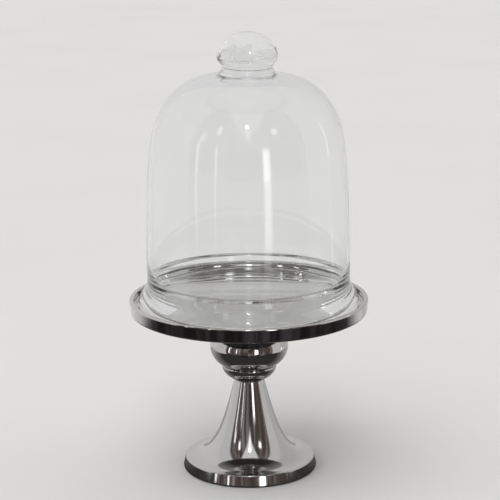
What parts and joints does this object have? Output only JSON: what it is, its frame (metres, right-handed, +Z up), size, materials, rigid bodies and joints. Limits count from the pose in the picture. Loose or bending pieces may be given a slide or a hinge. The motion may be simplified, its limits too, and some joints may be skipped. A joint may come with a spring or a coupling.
{
  "type": "cheese dome",
  "caption": "Glass bell with a solid knob, standing in a round raised-rim tray on a bulbous stem and trumpet foot; the bell lifts off.",
  "frame": {"origin": "middle of the underside, on the table that the foot's pad rests on", "axes": "+Z up along the axis that every piece is turned about; the object is round, so X and Y are alike"},
  "size_m": [0.2198, 0.2198, 0.4081],
  "materials": {
    "clear_glass": "clear, fire polished",
    "polished_metal": "mirror polished casting",
    "plated_steel": "zinc plated",
    "black_felt": "felt"
  },
  "bodies": {
    "stand": {"tray": "polished_metal", "upper_bowl": "polished_metal", "lower_bowl": "polished_metal", "pedestal": "polished_metal", "base_pad": "black_felt", "tie_rod": "plated_steel", "flat_washer": "plated_steel", "lock_washer": "plated_steel", "hex_nut": "plated_steel"},
    "dome": {"glass_bell": "clear_glass", "glass_knob": "clear_glass"}
  },
  "joints": [
    {"name": "dome_lift", "type": "slide", "parent": "stand", "child": "dome", "axis": [0, 0, 1], "range_m": [0, 0.26]}
  ]
}
